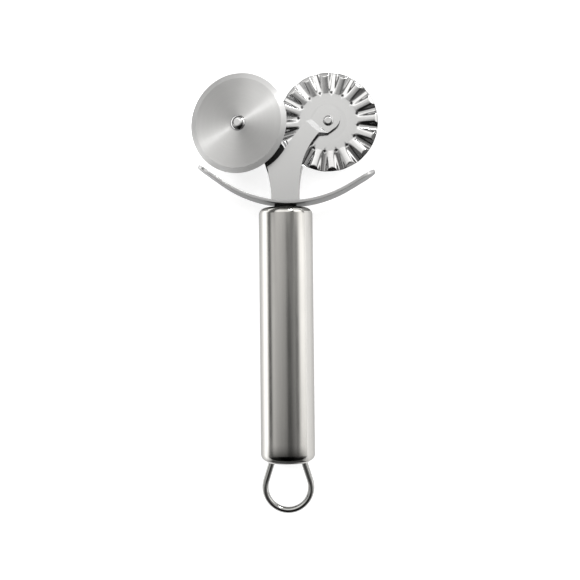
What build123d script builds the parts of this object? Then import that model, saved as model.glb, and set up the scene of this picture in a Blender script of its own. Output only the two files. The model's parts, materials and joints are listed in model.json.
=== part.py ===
"""Pastry cutter with a smooth wheel and a fluted wheel on a two-plate steel head.

Frame, in millimetres: the origin is on the axis of the tubular grip, near its middle.
+Y runs along the grip towards the wheels, +X to the fluted wheel's side, and +Z up
from the surface that the tool lies on.
"""
from build123d import *
from math import cos, pi, radians, sin, sqrt
import os

# Grip: a rolled tube, closed by a cap at each end
grip_radius = 12.2
grip_front_y = 57.6
grip_rear_y = -56.6
grip_wall = 0.9
front_rounding = 3.0
rear_rounding = 3.2
cap_gap = 0.1
front_cap_thickness = 0.9
end_cap_thickness = 0.5
end_cap_overlap = 0.5
end_cap_boss_radius = 5.0
end_cap_boss_length = 2.5
plug_gap = 0.05
tang_plug_length = 36.0
end_plug_length = 13.0

# Hanging loop: a ring of round wire with two legs that run into the grip
wire_radius = 1.45
loop_radius = 10.3
loop_centre_y = -68.3
leg_angle = 17.6
leg_depth = 11.0

# Finger guard: a bent strip with straight tips, set on the tang with a slight lean
guard_thickness = 1.5
guard_width = 16.0
guard_radius = 52.5
guard_inner_y = 60.4
guard_half_angle = 33.0
guard_half_span = 40.0
guard_lean = 2.3
guard_corner = 6.0
slot_gap = 0.1
edge_break = 0.3

# Head plates: two stampings back to back, each with a tang and one arm
plate_thickness = 1.5
tang_width = 10.0
tang_end_y = 27.0
stem_width = 12.9
front_flare_y = 69.0
back_flare_y = 61.5
corner_flare_y = 64.0
hollow_centre = (19.9, 96.6)
hollow_radius = 23.2
hollow_angles = (-59.7, -27.5)
inner_shoulder = (6.2, 93.2)
arm_angle = 49.0
joggle = 2.0
joggle_start = -7.0
joggle_start_sides = (-7.5, 0.5)
joggle_end = -4.4
joggle_end_sides = (-6.3, 3.5)
pad_radius = 5.9
pad_centre = (0.8, -1.3)

# Tang pin: one cross pin through the plug and both tangs
tang_pin_radius = 1.5
tang_pin_length = 20.0
tang_pin_y = 40.0

# Wheels and the rivets they turn on
smooth_centre = (-20.3, 96.1)
fluted_centre = (19.8, 97.5)
smooth_radius = 22.9
fluted_radius = 22.8
smooth_cant = 15.5
cant_heading = 172.5
rivet_radius = 2.0
running_gap = 0.05
side_gap = 0.15
washer_radius = 4.4
washer_thickness = 1.6
washer_gap = 0.1
head_radius = 3.6
head_flat = 1.3
head_height = 1.4
tail_radius = 2.4
tail_flat = 1.3
tail_height = 0.8
smooth_thickness = 1.2
bevel_width = 2.4
bevel_depth = 0.45
fluted_thickness = 0.8
fluted_bevel_width = 2.0
fluted_edge_thickness = 0.3
web_radius = 13.2
flute_count = 16
flute_height = 1.25
flute_sharpness = 1.4
flute_points = 12

bore_radius = grip_radius - grip_wall
front_opening = grip_radius - front_rounding
rear_opening = grip_radius - rear_rounding
guard_centre_x = guard_radius * sin(radians(guard_lean))
guard_centre_y = guard_inner_y + guard_radius * cos(radians(guard_lean))
shoulder_x = guard_centre_x + stem_width / 2
shoulder_y = guard_centre_y - sqrt(guard_radius**2 - shoulder_x**2)
smooth_face = washer_thickness + side_gap
smooth_head = smooth_face + smooth_thickness + side_gap
fluted_head = smooth_face + fluted_thickness + side_gap
pitch_angle = 360 / flute_count


# ---------------------------------------------------------------- reference planes


def arm_plane(side):
    """The flat plane between the plates at one arm, its X along the arm, Z to the wheel."""
    angle = radians(arm_angle)
    along = (side * cos(angle), sin(angle), 0)
    centre = fluted_centre if side > 0 else smooth_centre
    return Plane((*centre, 0), x_dir=along, z_dir=(0, 0, -side))


def pad_plane(side, cant):
    """The pad's wheel face, with its origin on the rivet's axis and its Z to the wheel."""
    flat = arm_plane(side).offset(joggle)
    lean, heading = radians(cant), radians(cant_heading)
    towards_wheel = (sin(lean) * cos(heading), sin(lean) * sin(heading), flat.z_dir.Z * cos(lean))
    return Plane(flat.origin, x_dir=flat.x_dir, z_dir=towards_wheel)


def axial_plane(axle):
    """A plane through an axle, its local Y along the axle, for turned profiles."""
    return Plane(axle.origin, x_dir=axle.x_dir, z_dir=-axle.y_dir)


def turning_axis(axle):
    return Axis(axle.origin, axle.z_dir)


fluted_pad = pad_plane(1, 0.0)
smooth_pad = pad_plane(-1, smooth_cant)


# ---------------------------------------------------------------- grip


with BuildPart() as handle_tube:
    with BuildSketch():
        with BuildLine():
            for depth in (0, grip_wall):
                front_bend = (grip_radius - depth, grip_front_y - front_rounding)
                rear_bend = (grip_radius - depth, grip_rear_y + rear_rounding)
                TangentArc((front_opening, grip_front_y - depth), front_bend, tangent=(1, 0))
                TangentArc((rear_opening, grip_rear_y + depth), rear_bend, tangent=(1, 0))
                Line(front_bend, rear_bend)
            Line((front_opening, grip_front_y), (front_opening, grip_front_y - grip_wall))
            Line((rear_opening, grip_rear_y), (rear_opening, grip_rear_y + grip_wall))
        make_face()
    revolve(axis=Axis.Y)

with BuildPart() as front_cap:
    with BuildSketch(Plane.XZ.offset(-grip_front_y)):
        Circle(front_opening - cap_gap)
        Rectangle(tang_width + slot_gap, 2 * plate_thickness + slot_gap, mode=Mode.SUBTRACT)
    extrude(amount=front_cap_thickness)

with BuildPart() as tang_pin:
    with BuildSketch(Plane.XY.offset(-tang_pin_length / 2)):
        with Locations((0, tang_pin_y)):
            Circle(tang_pin_radius)
    extrude(amount=tang_pin_length)
    chamfer(edges().filter_by(GeomType.CIRCLE), edge_break)

with BuildPart() as tang_plug:
    with BuildSketch(Plane.XZ.offset(front_cap_thickness - grip_front_y)):
        Circle(bore_radius - plug_gap)
    extrude(amount=tang_plug_length)
    fillet(edges().sort_by(Axis.Y)[-1], front_rounding - grip_wall + plug_gap)
    with BuildSketch(Plane.XZ.offset(-grip_front_y)):
        Rectangle(tang_width, 2 * plate_thickness)
    extrude(amount=grip_front_y - tang_end_y, mode=Mode.SUBTRACT)
    add(tang_pin.part, mode=Mode.SUBTRACT)


# ---------------------------------------------------------------- hanging loop


with BuildPart() as hanging_loop:
    with BuildLine() as loop_path:
        leg_run = (leg_depth + grip_rear_y - loop_centre_y) / cos(radians(leg_angle))
        leg_run -= loop_radius * sin(radians(leg_angle)) / cos(radians(leg_angle))
        ring = CenterArc((0, loop_centre_y), loop_radius, leg_angle, -180 - 2 * leg_angle)
        PolarLine(ring @ 0, leg_run, 90 + leg_angle)
        PolarLine(ring @ 1, leg_run, 90 - leg_angle)
    with BuildSketch(Plane(ring @ 0.5, z_dir=ring % 0.5)):
        Circle(wire_radius)
    sweep(path=loop_path.wire())

with BuildPart() as end_cap:
    with BuildSketch(Plane.XZ.offset(-grip_rear_y)):
        Circle(rear_opening + end_cap_overlap)
    extrude(amount=end_cap_thickness)
    fillet(edges().sort_by(Axis.Y)[0], edge_break)
    with BuildSketch(Plane.XZ.offset(-grip_rear_y)):
        Circle(end_cap_boss_radius)
    extrude(amount=-end_cap_boss_length)
    add(hanging_loop.part, mode=Mode.SUBTRACT)

with BuildPart() as end_plug:
    with BuildSketch(Plane.XZ.offset(-grip_rear_y - grip_wall)):
        Circle(bore_radius - plug_gap)
    extrude(amount=-end_plug_length)
    fillet(edges().sort_by(Axis.Y)[0], rear_rounding - grip_wall + plug_gap)
    add(hanging_loop.part, mode=Mode.SUBTRACT)
    add(end_cap.part, mode=Mode.SUBTRACT)


# ---------------------------------------------------------------- finger guard


with BuildPart() as finger_guard:
    with BuildSketch(Plane.XY.offset(-guard_width / 2)):
        with BuildLine():
            spread = radians(guard_half_angle)
            bend_radius = guard_radius + guard_thickness / 2
            centre = (guard_centre_x, guard_centre_y)
            start_angle = -90 - guard_lean - guard_half_angle
            bend = CenterArc(centre, bend_radius, start_angle, 2 * guard_half_angle)
            tip_run = (guard_half_span - bend_radius * sin(spread)) / cos(spread)
            PolarLine(bend @ 1, tip_run, guard_half_angle - guard_lean)
            PolarLine(bend @ 0, tip_run, 180 - guard_half_angle - guard_lean)
        trace(line_width=guard_thickness)
    extrude(amount=guard_width)
    tip_faces = faces().filter_by(GeomType.PLANE).sort_by(SortBy.AREA)[:2]
    fillet(tip_faces.edges().filter_by(Plane.XY), guard_corner)
    fillet(faces().filter_by(Axis.Z).edges(), edge_break)
    with BuildSketch(Plane.XZ.offset(-guard_inner_y - guard_thickness)):
        Rectangle(tang_width + slot_gap, 2 * plate_thickness + slot_gap)
    extrude(amount=3 * guard_thickness, mode=Mode.SUBTRACT)


# ---------------------------------------------------------------- head plates


def hollow_point(side, angle):
    """A point on the hollow that clears the opposite wheel, at an angle about that wheel."""
    turn = radians(angle)
    centre_x, centre_y = hollow_centre
    return (side * (hollow_radius * cos(turn) - centre_x), centre_y + hollow_radius * sin(turn))


def joggle_section(face_plane, along, sides):
    """A plane across the arm and the span of the plate's section on it."""
    section = Plane(
        face_plane.from_local_coords((along, 0, 0)),
        x_dir=face_plane.y_dir,
        z_dir=face_plane.x_dir,
    )
    return section, sum(sides) / 2, sides[1] - sides[0]


def head_plate(side, flare_y, pad):
    """One stamping: tang, stem and arm, with a step down to the pad that holds a rivet."""
    arm = arm_plane(side)
    start_inner, start_outer = (
        arm.from_local_coords((joggle_start, side_y, 0)) for side_y in joggle_start_sides
    )
    half_stem, half_tang = side * stem_width / 2, side * tang_width / 2
    corner, hollow_middle, hollow_end = (
        hollow_point(side, angle)
        for angle in (hollow_angles[0], sum(hollow_angles) / 2, hollow_angles[1])
    )
    with BuildPart() as plate:
        with BuildSketch():
            with BuildLine():
                Polyline(
                    (half_stem, flare_y),
                    (half_stem, shoulder_y),
                    (half_tang, shoulder_y),
                    (half_tang, tang_end_y),
                    (-half_tang, tang_end_y),
                    (-half_tang, shoulder_y),
                    (-half_stem, shoulder_y),
                    (-half_stem, corner_flare_y),
                )
                TangentArc((half_stem, flare_y), start_outer, tangent=(0, 1))
                TangentArc((-half_stem, corner_flare_y), corner, tangent=(0, 1))
                ThreePointArc(corner, hollow_middle, hollow_end)
                shoulder = (side * inner_shoulder[0], inner_shoulder[1])
                Polyline(hollow_end, shoulder, start_inner, start_outer)
            make_face()
        extrude(amount=side * plate_thickness)
        for face_plane, along, sides in (
            (arm, joggle_start, joggle_start_sides),
            (pad, joggle_end, joggle_end_sides),
        ):
            section, middle, width = joggle_section(face_plane, along, sides)
            with BuildSketch(section):
                with Locations((middle, 0)):
                    Rectangle(width, plate_thickness, align=(Align.CENTER, Align.MAX))
        loft()
        with BuildSketch(pad):
            with Locations(pad_centre):
                Circle(pad_radius)
            with Locations((joggle_end, sum(joggle_end_sides) / 2)):
                width = joggle_end_sides[1] - joggle_end_sides[0]
                Rectangle(edge_break, width, align=(Align.MIN, Align.CENTER))
            make_hull()
            Circle(rivet_radius, mode=Mode.SUBTRACT)
        extrude(amount=-plate_thickness)
        add(tang_pin.part, mode=Mode.SUBTRACT)
    return plate


front_plate = head_plate(1, front_flare_y, fluted_pad)
back_plate = head_plate(-1, back_flare_y, smooth_pad)


# ---------------------------------------------------------------- rivets and washers


def wheel_rivet(pad, head_base):
    """A rivet with a rounded head over the wheel and a formed tail on the pad."""
    head_top = head_base + head_height
    tail_base = -plate_thickness
    tail_top = tail_base - tail_height
    with BuildPart() as rivet:
        with BuildSketch(axial_plane(pad)):
            with BuildLine():
                Line((0, head_top), (head_flat, head_top))
                TangentArc((head_flat, head_top), (head_radius, head_base), tangent=(1, 0))
                Polyline(
                    (head_radius, head_base),
                    (rivet_radius, head_base),
                    (rivet_radius, tail_base),
                    (tail_radius, tail_base),
                )
                TangentArc((tail_flat, tail_top), (tail_radius, tail_base), tangent=(1, 0))
                Polyline((tail_flat, tail_top), (0, tail_top), (0, head_top))
            make_face()
        revolve(axis=turning_axis(pad))
    return rivet


def spacer_washer(pad):
    with BuildPart() as washer:
        with BuildSketch(pad):
            Circle(washer_radius)
            Circle(rivet_radius + washer_gap, mode=Mode.SUBTRACT)
        extrude(amount=washer_thickness)
    return washer


smooth_rivet = wheel_rivet(smooth_pad, smooth_head)
smooth_washer = spacer_washer(smooth_pad)
fluted_rivet = wheel_rivet(fluted_pad, fluted_head)
fluted_washer = spacer_washer(fluted_pad)


# ---------------------------------------------------------------- wheels


with BuildPart() as smooth_wheel:
    with BuildSketch(axial_plane(smooth_pad)):
        with BuildLine():
            bore, back = rivet_radius + running_gap, smooth_face + smooth_thickness
            Polyline(
                (bore, smooth_face),
                (smooth_radius - bevel_width, smooth_face),
                (smooth_radius, smooth_face + bevel_depth),
                (smooth_radius, back - bevel_depth),
                (smooth_radius - bevel_width, back),
                (bore, back),
                close=True,
            )
        make_face()
    revolve(axis=turning_axis(smooth_pad))


def flute_shape(across):
    """The pressed wave at a fraction of one pitch: -1 on a crest, 1 in the narrower valley."""
    return 2 * abs(sin(pi * across)) ** (2 * flute_sharpness) - 1


def half_sheet(radius):
    """Half the sheet's thickness at a radius, less towards the ground rim."""
    ground = max(0, radius - fluted_radius + fluted_bevel_width) / fluted_bevel_width
    return (fluted_thickness - ground * (fluted_thickness - fluted_edge_thickness)) / 2


def flute_curve(radius, side):
    """One pitch of the sheet's surface at a radius, on the upper or the lower side."""
    height = flute_height * (radius - web_radius) / (fluted_radius - web_radius)
    points = []
    for index in range(flute_points + 1):
        across = index / flute_points - 1 / 2
        level = height * flute_shape(across) + side * half_sheet(radius)
        points.append(Vector(radius, 0, level).rotate(Axis.Z, across * pitch_angle))
    return Edge.make_spline(points)


def web_arc(side):
    """One pitch of the flat web's edge, where the flutes begin."""
    web_face = Plane.XY.offset(side * fluted_thickness / 2)
    return Edge.make_circle(web_radius, web_face, -pitch_angle / 2, pitch_angle / 2)


flute_radii = (fluted_radius - fluted_bevel_width, fluted_radius)
upper_curves = [web_arc(1)] + [flute_curve(radius, 1) for radius in flute_radii]
lower_curves = [web_arc(-1)] + [flute_curve(radius, -1) for radius in flute_radii]
flute_faces = [
    Face.make_surface_from_curves(inner, outer)
    for curves in (upper_curves, lower_curves)
    for inner, outer in zip(curves, curves[1:])
]
flute_faces.append(Face.make_surface_from_curves(upper_curves[-1], lower_curves[-1]))

with BuildPart() as fluted_web:
    with BuildSketch(Plane.XY.offset(-fluted_thickness / 2)):
        with BuildLine():
            for index in range(flute_count):
                CenterArc((0, 0), web_radius, (index - 1 / 2) * pitch_angle, pitch_angle)
        make_face()
        Circle(rivet_radius + running_gap, mode=Mode.SUBTRACT)
    extrude(amount=fluted_thickness)
    round_faces = faces().filter_by(GeomType.CYLINDER).sort_by(SortBy.RADIUS)
    web_faces = faces().filter_by(GeomType.PLANE) + round_faces[:1]

web_plane = fluted_pad.offset(smooth_face + fluted_thickness / 2)
wheel_faces = web_faces + [
    face.rotate(Axis.Z, index * pitch_angle) for face in flute_faces for index in range(flute_count)
]
with BuildPart() as fluted_wheel:
    add(web_plane.location * Solid(Shell(wheel_faces)))


# ---------------------------------------------------------------- export

nodes = {
    "handle_tube": handle_tube,
    "front_cap": front_cap,
    "tang_plug": tang_plug,
    "tang_pin": tang_pin,
    "end_cap": end_cap,
    "end_plug": end_plug,
    "hanging_loop": hanging_loop,
    "finger_guard": finger_guard,
    "front_plate": front_plate,
    "back_plate": back_plate,
    "smooth_rivet": smooth_rivet,
    "smooth_washer": smooth_washer,
    "smooth_wheel": smooth_wheel,
    "fluted_rivet": fluted_rivet,
    "fluted_washer": fluted_washer,
    "fluted_wheel": fluted_wheel,
}
os.makedirs("parts", exist_ok=True)
for label, node in nodes.items():
    node.part.label = label
    export_step(node.part, f"parts/{label}.step")
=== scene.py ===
import json
import math

import bmesh
import bpy
from mathutils import Matrix, Vector


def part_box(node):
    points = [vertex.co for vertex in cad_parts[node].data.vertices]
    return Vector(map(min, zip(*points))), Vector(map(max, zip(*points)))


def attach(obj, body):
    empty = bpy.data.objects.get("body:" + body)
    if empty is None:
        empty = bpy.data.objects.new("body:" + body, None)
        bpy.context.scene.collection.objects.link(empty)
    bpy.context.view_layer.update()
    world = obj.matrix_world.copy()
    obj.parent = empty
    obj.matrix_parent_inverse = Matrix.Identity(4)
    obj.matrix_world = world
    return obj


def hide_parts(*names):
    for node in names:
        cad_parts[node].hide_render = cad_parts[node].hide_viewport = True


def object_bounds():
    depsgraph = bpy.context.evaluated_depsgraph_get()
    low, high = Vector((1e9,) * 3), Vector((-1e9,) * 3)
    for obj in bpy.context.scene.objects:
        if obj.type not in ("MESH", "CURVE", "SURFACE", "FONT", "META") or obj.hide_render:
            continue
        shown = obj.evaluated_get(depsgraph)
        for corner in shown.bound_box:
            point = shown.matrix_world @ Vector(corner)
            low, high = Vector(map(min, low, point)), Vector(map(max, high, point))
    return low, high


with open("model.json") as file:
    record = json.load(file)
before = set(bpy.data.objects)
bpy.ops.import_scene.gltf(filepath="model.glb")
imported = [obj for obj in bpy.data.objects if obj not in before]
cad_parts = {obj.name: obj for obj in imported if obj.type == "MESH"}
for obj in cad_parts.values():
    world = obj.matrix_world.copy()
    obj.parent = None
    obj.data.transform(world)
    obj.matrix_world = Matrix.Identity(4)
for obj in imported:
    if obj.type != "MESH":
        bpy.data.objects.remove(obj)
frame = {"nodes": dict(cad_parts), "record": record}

cad_low, cad_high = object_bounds()
MM = 0.001

# Where the axles are, from the record's joints: position, and direction to the viewer
AXLES = {}
for joint in frame["record"]["behaviour"]["joints"]:
    axis = Vector(joint["axis"]).normalized()
    AXLES[joint["child"]] = (Vector(joint["pos_m"]), axis if axis.z > 0 else -axis)


# ---------------------------------------------------------------- driving dimensions

# The pressed sheet of the fluted wheel: a flat web, then flutes that grow towards the rim
BORE = 2.05 * MM
WEB = 13.2 * MM
RIM = 22.8 * MM
SHEET = 0.8 * MM
WASHER_GAP = 0.15 * MM
FLUTES = 16
PHASE = math.radians(49)
COLUMNS = FLUTES * 72

# One flute: its height and depth at the rim, where its crest ends and its trough starts as
# fractions of the pitch, the share of the slope that each bend takes, and the crest's crown
RISE = 0.8 * MM
DROP = 1.1 * MM
CREST = 0.20
TROUGH = 0.385
CORNER = 0.35
CROWN = 0.14 * MM
# The flutes start within this distance of the web's edge, each trough with a small dimple
START_REACH = 0.4 * MM
NOSE_DEPTH = 0.15 * MM
NOSE_RADIUS = 0.5 * MM

# The ground rim: its width, and how fast it takes the crests and troughs down
GRIND = 1.6 * MM
GRIND_SLOPE = 0.42

# Where the smooth wheel's bevel starts, and how far from its axle painted shade darkens the lower
# plate:
# a little past the wheel's edge
BEVEL = 20.5 * MM
SHADED_REACH = 24.5 * MM

# Positions along the tool between which painted shade turns the metal from its own colour to fully
# dark; it stays dark past the second one. This painted shade stands in for deep shade at the grip's
# ends and behind the guard. To each side of the middle it starts to fade at the core and is gone at the
# edge.
HANDLE_SHADE_BANDS = ((-48.0 * MM, -54.4 * MM), (56.0 * MM, 56.6 * MM))
PLATE_SHADE_BANDS = ((60.9 * MM, 60.3 * MM),)
SHADE_BAND_CORE = 6.5 * MM
SHADE_BAND_EDGE = 9.5 * MM

# The floor's glow is weaker to the right of one X position and stronger to the left of the
# next, with some more added far to the right
FLOOR_HALF = 3.0
FLOOR_GREYS = (0.43, 0.45)
GLOW_RIGHT, GLOW_LEFT = 0.7, 1.5
GLOW_EDGE = (-32 * MM, -58 * MM)
EXTRA_GLOW = 0.3
EXTRA_EDGE = (100 * MM, 400 * MM)

# The studio round the tool: radiance by the angle in degrees to the side of straight up, for
# directions over the tool, away past the wheels and away past the loop
SIDES_NEAR = (
    (-90, 1.9), (-86, 1.6), (-83, 0.6), (-78, 0.2), (-71, 0.16), (-67, 0.36), (-62, 0.92),
    (-54, 0.95), (-45, 0.78), (-31, 0.7), (-18, 0.62), (-8, 0.52), (-1, 0.45), (3, 0.26),
    (7, 0.16), (12, 0.14), (20, 0.2), (30, 0.36), (38, 0.42), (43, 0.2), (49, 0.2), (54, 0.6),
    (59, 1.3), (65, 1.75), (78, 1.95), (85, 1.8), (90, 1.4),
)
SIDES_FAR = (
    (-90, 1.2), (-75, 0.12), (-50, 0.1), (-42, 0.8), (-34, 1.05), (-12, 0.97), (-5, 0.95),
    (10, 0.95), (20, 0.7), (27, 0.16), (36, 0.12), (43, 1.2), (72, 1.3), (80, 0.4), (90, 0.1),
)
SIDES_BEHIND = (
    (-90, 0.9), (-62, 1.0), (-50, 0.9), (-40, 0.35), (-25, 0.06),
    (25, 0.06), (40, 0.35), (50, 0.9), (62, 1.0), (90, 0.9),
)
# A factor by how far a direction points along the tool, from -1 to 1
ENDS = (
    (-1, 0.02), (-0.75, 0.12), (-0.5, 0.09), (-0.3, 0.25), (-0.2, 0.5), (0.26, 0.5),
    (0.36, 0.85), (0.56, 0.85), (0.66, 0.4), (0.84, 0.4), (0.92, 0.04), (1, 0.025),
)
# Ramps hold half of each level, and the gain makes up for it; it grows along the tool
RAMP_SCALE = 0.5
PAST_EDGE = (0.09, 0.16)
BEHIND_EDGE = (-0.125, -0.15)
GAIN_EDGE = (-0.13, 0.07)
GAIN = (2.8, 4.4)
WARM = (1.0, 0.997, 0.99)

# Soft lamps: name, place, aim, width and height, watts, and whether the metal mirrors them
LAMPS = (
    ("key", (-0.9, 0.8, 0.8), (0, 0.03, 0), (0.8, 0.8), 16, False),
    ("fill", (1.1, 0.2, 0.55), (0, 0, 0), (0.8, 0.8), 9, False),
    ("overhead", (-0.1, 0.1, 1.9), (0, 0, 0), (2.0, 2.0), 8, False),
    ("disc_light", (0.41, 0.89, 0.72), (-0.02, 0.097, 0), (0.16, 0.16), 4.2, True),
    ("back_right", (0.735, 1.16, 0.20), (0, 0.09, 0), (0.55, 0.36), 0.4, True),
)

EYE = Vector((17.8, 3.0, 480)) * MM
AIM = Vector((1.63, 20.4, 0)) * MM
LEAN = math.radians(0.57)
FIELD_OF_VIEW = math.radians(30.6)
SENSOR_WIDTH = 36


# ---------------------------------------------------------------- node helpers


class Nodes:
    """A small builder for one node tree."""

    def __init__(self, tree):
        self.tree = tree

    def new(self, kind, **settings):
        node = self.tree.nodes.new(kind)
        for key, value in settings.items():
            setattr(node, key, value)
        return node

    def link(self, source, target):
        self.tree.links.new(source, target)

    def put(self, value, socket):
        """Link a node's output to a socket, or set the socket's own value."""
        if isinstance(value, bpy.types.NodeSocket):
            self.link(value, socket)
        elif socket.type == "RGBA":
            socket.default_value = (*value, 1)
        else:
            socket.default_value = value

    def math(self, operation, *values):
        node = self.new("ShaderNodeMath", operation=operation)
        for value, socket in zip(values, node.inputs):
            self.put(value, socket)
        return node.outputs[0]

    def length(self, x, y):
        squares = [self.math("MULTIPLY", value, value) for value in (x, y)]
        return self.math("SQRT", self.math("ADD", *squares))

    def split(self, vector):
        """The X, Y and Z outputs of a vector."""
        node = self.new("ShaderNodeSeparateXYZ")
        self.link(vector, node.inputs[0])
        return node.outputs

    def remap(self, value, low, high, to_low, to_high, curve="LINEAR"):
        node = self.new("ShaderNodeMapRange", clamp=True, interpolation_type=curve)
        self.put(value, node.inputs["Value"])
        node.inputs["From Min"].default_value = low
        node.inputs["From Max"].default_value = high
        node.inputs["To Min"].default_value = to_low
        node.inputs["To Max"].default_value = to_high
        return node.outputs["Result"]

    def tint(self, factor, first, second, blend="MIX"):
        node = self.new("ShaderNodeMix", data_type="RGBA", blend_type=blend)
        self.put(factor, node.inputs["Factor"])
        self.put(first, node.inputs["A"])
        self.put(second, node.inputs["B"])
        return node.outputs["Result"]


class Material(Nodes):
    """A material with one Principled shader."""

    def __init__(self, name):
        self.material = bpy.data.materials.new(name)
        self.material.use_nodes = True
        super().__init__(self.material.node_tree)
        self.tree.nodes.clear()
        self.shader = self.new("ShaderNodeBsdfPrincipled")
        self.link(self.shader.outputs[0], self.new("ShaderNodeOutputMaterial").inputs[0])

    def position(self):
        return self.new("ShaderNodeTexCoord").outputs["Object"]

    def facing_up(self):
        """The upward part of the surface's own direction."""
        return self.split(self.new("ShaderNodeNewGeometry").outputs["True Normal"])["Z"]

    def local(self, origin, rotation=(0, 0, 0), scale=(1, 1, 1)):
        """Object coordinates moved into a local frame, then scaled."""
        shift = self.new("ShaderNodeVectorMath", operation="SUBTRACT")
        self.link(self.position(), shift.inputs[0])
        shift.inputs[1].default_value = origin
        turn = self.new("ShaderNodeVectorRotate", rotation_type="EULER_XYZ", invert=True)
        self.link(shift.outputs[0], turn.inputs["Vector"])
        turn.inputs["Rotation"].default_value = rotation
        grow = self.new("ShaderNodeVectorMath", operation="MULTIPLY")
        self.link(turn.outputs[0], grow.inputs[0])
        grow.inputs[1].default_value = scale
        return grow.outputs[0]

    def noise(self, vector, scale, detail=3.0, roughness=0.6):
        node = self.new("ShaderNodeTexNoise")
        self.put(vector, node.inputs["Vector"])
        node.inputs["Scale"].default_value = scale
        node.inputs["Detail"].default_value = detail
        node.inputs["Roughness"].default_value = roughness
        return node.outputs["Fac"]

    def mingle(self, fine, broad):
        """Fine marks over broader bands."""
        return self.math("ADD", self.math("MULTIPLY", fine, 0.6), self.math("MULTIPLY", broad, 0.4))

    def shades(self, value, colour, dark, light):
        """A colour that a noise value takes between a darker and a lighter shade."""
        darker = tuple(channel * dark for channel in colour)
        lighter = tuple(min(1, channel * light) for channel in colour)
        return self.tint(self.remap(value, 0.35, 0.65, 0, 1), darker, lighter)

    def bump(self, height, strength, distance):
        node = self.new("ShaderNodeBump")
        node.inputs["Strength"].default_value = strength
        node.inputs["Distance"].default_value = distance
        self.link(height, node.inputs["Height"])
        return node.outputs["Normal"]

    def finish(self, colour, roughness, normal=None, metallic=1.0, **constants):
        """Fill the shader's sockets; constants are set on the sockets themselves."""
        self.put(colour, self.shader.inputs["Base Color"])
        self.put(roughness, self.shader.inputs["Roughness"])
        self.shader.inputs["Metallic"].default_value = metallic
        if normal is not None:
            self.link(normal, self.shader.inputs["Normal"])
        for name, value in constants.items():
            self.put(value, self.shader.inputs[name.replace("_", " ")])
        return self.material


def grey(level):
    return (level, level, level)


def euler_to(axis):
    """Euler angles of a frame whose Z is the axis, with its X as near the world's as can be."""
    z = axis.normalized()
    x_hint = Vector((1, 0, 0))
    x = (x_hint - z * x_hint.dot(z)).normalized()
    return Matrix((x, z.cross(x), z)).transposed().to_euler("XYZ")


# ---------------------------------------------------------------- metals


def painted_side_shade(n, base, colour, sides):
    """Painted shade: a darker shade of the colour where the surface stands upright."""
    upward = n.math("ABSOLUTE", n.facing_up())
    side_colour = tuple(channel * sides for channel in colour)
    return n.tint(n.remap(upward, 0.15, 0.75, 0, 1), side_colour, base)


def painted_shade_band(n, base, start, full):
    """Painted shade across the tool's middle: the metal darkens from one position and stays dark past
    another.
    """
    x, y, _ = n.split(n.position())
    near = n.math("POWER", n.remap(y, start, full, 0, 1), 1.5)
    middle = n.remap(n.math("ABSOLUTE", x), SHADE_BAND_CORE, SHADE_BAND_EDGE, 1, 0)
    # Painted shade: the metal goes near black here
    return n.tint(n.math("MULTIPLY", near, middle), base, (0.04, 0.04, 0.038))


def shaded_under(n, base, axle, reach):
    """Painted shade: dark metal on the lower plate's upward faces within reach of an axle."""
    x, y, z = n.split(n.local((axle.x, axle.y, 0)))
    near = n.remap(n.length(x, y), reach + 1.5 * MM, reach, 0, 1)
    upward = n.remap(n.facing_up(), 0.2, 0.5, 0, 1)
    low = n.remap(z, 0.9 * MM, 0.6 * MM, 0, 1)
    return n.tint(n.math("MULTIPLY", n.math("MULTIPLY", near, upward), low), base, grey(0.05))


def straight_brushed(name, colour, along, grain, roughness, contrast, variation=0.13,
                     sides=1.0, shade_bands=(), under=None, **constants):
    """Steel brushed in straight lines along one axis, with optional painted shade on upright sides, in
    bands across the tool and on the lower plate near an axle.
    """
    n = Material(name)
    stretch = tuple(0.02 if axis_number == along else 1.0 for axis_number in range(3))
    vector = n.local((0, 0, 0), scale=stretch)
    fine = n.noise(vector, grain, 4.0, 0.7)
    broad = n.noise(vector, grain * 0.16, 3.0, 0.6)
    blotch = n.noise(n.position(), 55.0, 3.0, 0.55)
    mixed = n.mingle(fine, broad)
    base = n.shades(mixed, colour, 1 - contrast, 1 + contrast)
    # Painted shade on the upright sides
    if sides != 1.0:
        base = painted_side_shade(n, base, colour, sides)
    # Painted shade in bands across the tool
    for start, full in shade_bands:
        base = painted_shade_band(n, base, start, full)
    # Painted shade on the lower plate round an axle
    if under is not None:
        base = shaded_under(n, base, *under)
    streaky = n.remap(mixed, 0.3, 0.7, roughness * (1 - variation), roughness * (1 + variation))
    patchy = n.remap(blotch, 0.35, 0.65, -0.2 * variation, 0.2 * variation)
    normal = n.bump(fine, 0.12, 0.01 * MM)
    return n.finish(base, n.math("ADD", streaky, patchy), normal, **constants)


def polished(name, colour, roughness):
    """Polished steel with faint handling marks."""
    n = Material(name)
    marks = n.noise(n.position(), 900.0, 4.0, 0.7)
    clouds = n.noise(n.position(), 120.0, 2.0, 0.5)
    base = n.shades(clouds, colour, 0.95, 1)
    rough = n.remap(marks, 0.35, 0.7, roughness, roughness * 1.7)
    return n.finish(base, rough, n.bump(marks, 0.08, 0.01 * MM))


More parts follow.
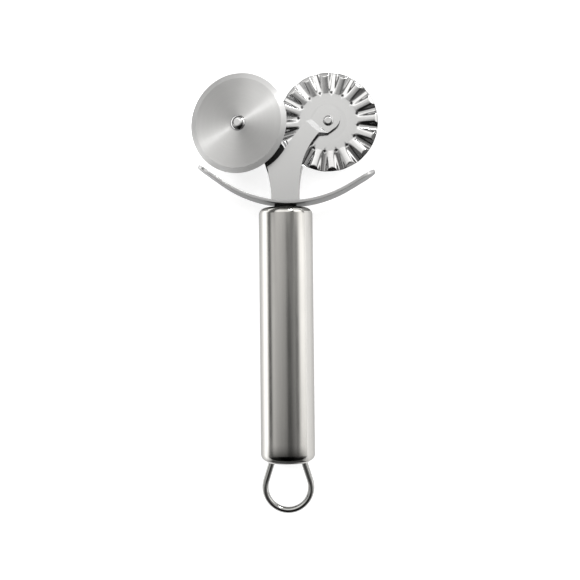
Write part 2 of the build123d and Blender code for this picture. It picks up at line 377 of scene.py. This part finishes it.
def crease_shade_and_rim_line(n, base, x, y, radius):
    """Painted shade in the creases where the valleys start, and a darker line just inside the ground
    rim's edge.
    """
    turn = n.math("SUBTRACT", n.math("ARCTAN2", y, x), PHASE)
    wave = n.math("COSINE", n.math("MULTIPLY", turn, float(FLUTES)))
    valley = n.remap(wave, -0.80, -0.97, 0, 1)
    off_crease = n.math("ABSOLUTE", n.math("SUBTRACT", radius, WEB + 0.5 * MM))
    crease = n.remap(off_crease, 0.75 * MM, 0.3 * MM, 0, 1)
    # Painted shade: the creases go near black
    base = n.tint(n.math("MULTIPLY", valley, crease), base, grey(0.10))
    rim_line = n.remap(radius, RIM - 0.55 * MM, RIM - 0.3 * MM, 0, 0.75)
    return n.tint(rim_line, base, grey(0.30))


def painted_bevel_highlight(n, base, radius):
    """Painted highlight: a lighter colour on the whole bevel."""
    outside = n.remap(radius, BEVEL - 0.1 * MM, BEVEL + 0.1 * MM, 0, 1)
    return n.tint(outside, base, grey(0.66))


def turned(name, body, colour, roughness, ring_scale, anisotropic):
    """Steel turned on a lathe: concentric rings round the wheel's own axle."""
    n = Material(name)
    origin, axle = AXLES[body]
    x, y, _ = n.split(n.local(tuple(origin), tuple(euler_to(axle))))
    radius = n.length(x, y)
    ring = n.new("ShaderNodeCombineXYZ")
    n.link(radius, ring.inputs[0])
    rings = n.noise(ring.outputs[0], ring_scale, 4.0, 0.75)
    broad = n.noise(ring.outputs[0], ring_scale * 0.12, 2.0, 0.5)
    blotch = n.noise(n.position(), 70.0, 3.0, 0.6)
    mixed = n.mingle(rings, broad)
    base = n.shades(mixed, colour, 0.94, 1.05)
    if body == "fluted_wheel":
        # Painted shade in the fluted wheel's creases, and a darker line round its rim
        base = crease_shade_and_rim_line(n, base, x, y, radius)
    else:
        # Painted highlight on the smooth wheel's bevel
        base = painted_bevel_highlight(n, base, radius)
    ringed = n.remap(mixed, 0.3, 0.7, roughness * 0.85, roughness * 1.15)
    rough = n.math("ADD", ringed, n.remap(blotch, 0.35, 0.65, -0.015, 0.02))
    tangent = n.new("ShaderNodeTangent", direction_type="RADIAL", axis="Z")
    n.link(tangent.outputs[0], n.shader.inputs["Tangent"])
    normal = n.bump(rings, 0.3, 0.02 * MM)
    return n.finish(base, rough, normal, Anisotropic=anisotropic, Anisotropic_Rotation=0.25)


pin_steel = polished("pin_steel", grey(0.55), 0.3)
SLOTS = {
    # The handle carries painted shade at the grip's ends and behind the guard
    "handle_steel": straight_brushed(
        "handle_steel", (0.53, 0.52, 0.50), 1, 1400, 0.17, 0.05,
        shade_bands=HANDLE_SHADE_BANDS, Specular_Tint=grey(0.6),
    ),
    "cap_steel": straight_brushed("cap_steel", (0.54, 0.53, 0.52), 0, 1500, 0.30, 0.04),
    "plug_steel": pin_steel,
    "pin_steel": pin_steel,
    "wire_steel": polished("wire_steel", (0.42, 0.42, 0.41), 0.09),
    # The guard's upright sides carry painted shade
    "guard_steel": straight_brushed(
        "guard_steel", grey(0.50), 0, 1500, 0.32, 0.02, sides=0.75, Specular_Tint=grey(0.45),
    ),
    # The plate carries painted shade on its upright sides, in a band behind the guard and round the
    # smooth wheel's axle
    "plate_steel": straight_brushed(
        "plate_steel", grey(0.65), 1, 1500, 0.24, 0.01, variation=0.04, sides=0.35,
        shade_bands=PLATE_SHADE_BANDS, under=(AXLES["smooth_wheel"][0], SHADED_REACH),
    ),
    "rivet_steel": polished("rivet_steel", grey(0.56), 0.09),
    "smooth_wheel_steel": turned(
        "smooth_wheel_steel", "smooth_wheel", (0.60, 0.60, 0.597), 0.36, 2600, 0.93,
    ),
    "fluted_wheel_steel": turned("fluted_wheel_steel", "fluted_wheel", grey(0.61), 0.14, 1300, 0.0),
}


# ---------------------------------------------------------------- fluted wheel


def smoothstep(value):
    value = min(1, max(0, value))
    return (3 - 2 * value) * value**2


def spaced(first, step, count):
    return [first + step * index for index in range(count)]


def sheet_radii():
    """The mesh's rings: sparse on the web, close where the flutes start and at the rim."""
    web = [BORE, BORE + 0.1 * MM] + spaced(3.5 * MM, 2 * MM, 5)
    start = spaced(WEB - START_REACH, 0.16 * MM, 20)
    flutes = spaced(WEB + 2.9 * MM, 0.75 * MM, 7)
    rim = spaced(RIM - GRIND, 0.1 * MM, 16) + [RIM - 0.04 * MM, RIM]
    return sorted(web + start + flutes + rim)


def valley_depth(down):
    """How far down to a trough a point on the slope is, with both bends rounded."""
    if abs(down) < CORNER:
        return (down + CORNER) ** 2 / (4 * CORNER)
    if abs(1 - down) < CORNER:
        return 1 - (1 + CORNER - down) ** 2 / (4 * CORNER)
    return min(1, max(0, down))


def flute_height(radius, across):
    """Height of the sheet's middle over the web at a radius and a fraction of one pitch."""
    out = max(0, radius - WEB) / (RIM - WEB)
    start = smoothstep((radius - WEB + START_REACH) / (2 * START_REACH))
    valley = valley_depth((abs(across) - CREST) / (TROUGH - CREST))
    off_valley = (0.5 - abs(across)) * 2 * math.pi * radius / FLUTES
    off_nose = math.hypot(off_valley, radius - WEB - NOSE_RADIUS)
    nose = NOSE_DEPTH * (1 - smoothstep(off_nose / (2 * NOSE_RADIUS)))
    top = RISE - CROWN * min(1, abs(across) / CREST) ** 2
    return out * start * (top - (top + DROP) * valley) - nose


def sheet_ring(mesh, centre, middle, radius, side):
    """One ring of the upper (1) or lower (-1) skin, ground back near the rim."""
    ground = max(0, radius - RIM + GRIND) * GRIND_SLOPE
    out = (min(radius, RIM - GRIND) - WEB) / (RIM - WEB)
    crest = out * RISE + SHEET / 2 - ground
    trough = -out * DROP - SHEET / 2 + ground
    ring = []
    for column in range(COLUMNS):
        angle = 2 * math.pi * column / COLUMNS
        across = (angle - PHASE) / (2 * math.pi / FLUTES)
        across -= round(across)
        height = flute_height(radius, across) + side * SHEET / 2
        if ground > 0:
            height = min(height, crest) if side > 0 else max(height, trough)
        x = centre.x + radius * math.cos(angle)
        y = centre.y + radius * math.sin(angle)
        ring.append(mesh.verts.new((x, y, middle + height)))
    return ring


def fluted_mesh():
    """The pressed and ground sheet, in the CAD wheel's own place."""
    centre, _ = AXLES["fluted_wheel"]
    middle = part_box("fluted_washer")[0][2] - WASHER_GAP - SHEET / 2
    radii = sheet_radii()
    mesh = bmesh.new()
    upper = [sheet_ring(mesh, centre, middle, radius, 1) for radius in radii]
    lower = [sheet_ring(mesh, centre, middle, radius, -1) for radius in radii]
    loops = list(reversed(upper)) + lower
    for first, second in zip(loops, loops[1:] + loops[:1]):
        for column in range(COLUMNS):
            after = (column + 1) % COLUMNS
            mesh.faces.new((first[column], first[after], second[after], second[column]))
    bmesh.ops.recalc_face_normals(mesh, faces=mesh.faces)
    data = bpy.data.meshes.new("fluted_wheel_pressed")
    mesh.to_mesh(data)
    mesh.free()
    data.polygons.foreach_set("use_smooth", [True] * len(data.polygons))
    return data


def add_fluted_wheel():
    piece = bpy.data.objects.new("fluted_wheel_pressed", fluted_mesh())
    bpy.context.collection.objects.link(piece)
    piece.data.materials.append(SLOTS["fluted_wheel_steel"])
    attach(piece, "fluted_wheel")
    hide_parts("fluted_wheel")


def paint_nodes():
    """Give each CAD node the metal of its slot."""
    for part in frame["record"]["subparts"]:
        shown = frame["nodes"][part["node"]]
        if not shown.material_slots:
            shown.data.materials.append(None)
        for slot in shown.material_slots:
            slot.material = SLOTS[part["material_slot"]]


# ---------------------------------------------------------------- floor, light and camera


def floor_material():
    """Pale paper that glows, more so on the left and far to the right."""
    n = Material("floor_white")
    x = n.split(n.position())["X"]
    glow = n.remap(x, *GLOW_EDGE, GLOW_RIGHT, GLOW_LEFT)
    extra = n.remap(x, *EXTRA_EDGE, 0, EXTRA_GLOW)
    n.link(n.math("ADD", glow, extra), n.shader.inputs["Emission Strength"])
    paper = n.tint(n.noise(n.position(), 900.0), *map(grey, FLOOR_GREYS))
    return n.finish(paper, 0.9, metallic=0.0, Specular_IOR_Level=0.1, Emission_Color=grey(1))


def add_floor():
    ends = (-FLOOR_HALF, FLOOR_HALF)
    corners = [(ends[0], ends[0]), (ends[1], ends[0]), (ends[1], ends[1]), (ends[0], ends[1])]
    mesh = bpy.data.meshes.new("floor")
    mesh.from_pydata([(x, y, cad_low.z) for x, y in corners], [], [(0, 1, 2, 3)])
    mesh.materials.append(floor_material())
    floor = bpy.data.objects.new("floor", mesh)
    bpy.context.collection.objects.link(floor)


def add_lamp(name, position, target, size, power, mirrored):
    """A rectangular soft lamp that faces a target."""
    data = bpy.data.lights.new(name, "AREA")
    data.shape = "RECTANGLE"
    data.size, data.size_y = size
    data.energy = power
    lamp = bpy.data.objects.new(name, data)
    lamp.location = position
    lamp.rotation_euler = (Vector(target) - Vector(position)).to_track_quat("-Z", "Y").to_euler()
    lamp.visible_glossy = mirrored
    bpy.context.collection.objects.link(lamp)


def add_ramp(n, value, low, high, stops, scale=1.0):
    """A ramp over a value, from stops in the value's own units."""
    ramp = n.new("ShaderNodeValToRGB")
    n.link(n.remap(value, low, high, 0, 1), ramp.inputs["Fac"])
    elements = ramp.color_ramp.elements
    while len(elements) < len(stops):
        elements.new(1.0)
    for element, (place, level) in zip(elements, stops):
        element.position = (place - low) / (high - low)
        element.color = (*(level * scale * channel for channel in WARM), 1)
    return ramp.outputs["Color"]


def add_studio():
    """The world: levels by the angle to the side, in three zones, then by the way along."""
    world = bpy.data.worlds.new("studio")
    bpy.context.scene.world = world
    world.use_nodes = True
    n = Nodes(world.node_tree)
    x, y, z = n.split(n.new("ShaderNodeTexCoord").outputs["Generated"])
    side = n.math("DEGREES", n.math("ARCTAN2", x, z))
    beside, past, behind = (
        add_ramp(n, side, -90, 90, stops, RAMP_SCALE) for stops in (SIDES_NEAR, SIDES_FAR, SIDES_BEHIND)
    )
    around = n.tint(n.remap(y, *PAST_EDGE, 0, 1, "SMOOTHSTEP"), beside, past)
    around = n.tint(n.remap(y, *BEHIND_EDGE, 0, 1, "SMOOTHSTEP"), around, behind)
    shaded = n.tint(1.0, around, add_ramp(n, y, -1, 1, ENDS), "MULTIPLY")
    backdrop = n.tree.nodes["Background"]
    n.link(shaded, backdrop.inputs["Color"])
    n.link(n.remap(y, *GAIN_EDGE, *GAIN), backdrop.inputs["Strength"])


def add_camera():
    data = bpy.data.cameras.new("camera")
    camera = bpy.data.objects.new("camera", data)
    bpy.context.collection.objects.link(camera)
    back = (EYE - AIM).normalized()
    right = Vector((math.sin(LEAN), math.cos(LEAN), 0)).cross(back).normalized()
    up = back.cross(right).normalized()
    facing = Matrix((right, up, back)).transposed().to_4x4()
    camera.matrix_world = Matrix.Translation(EYE) @ facing
    data.sensor_width = SENSOR_WIDTH
    data.lens = SENSOR_WIDTH / 2 / math.tan(FIELD_OF_VIEW / 2)
    data.clip_start = 0.01
    data.clip_end = 20
    bpy.context.scene.camera = camera


add_fluted_wheel()
paint_nodes()
add_floor()
for lamp_settings in LAMPS:
    add_lamp(*lamp_settings)
add_studio()
add_camera()
bpy.context.scene.view_settings.view_transform = "Standard"
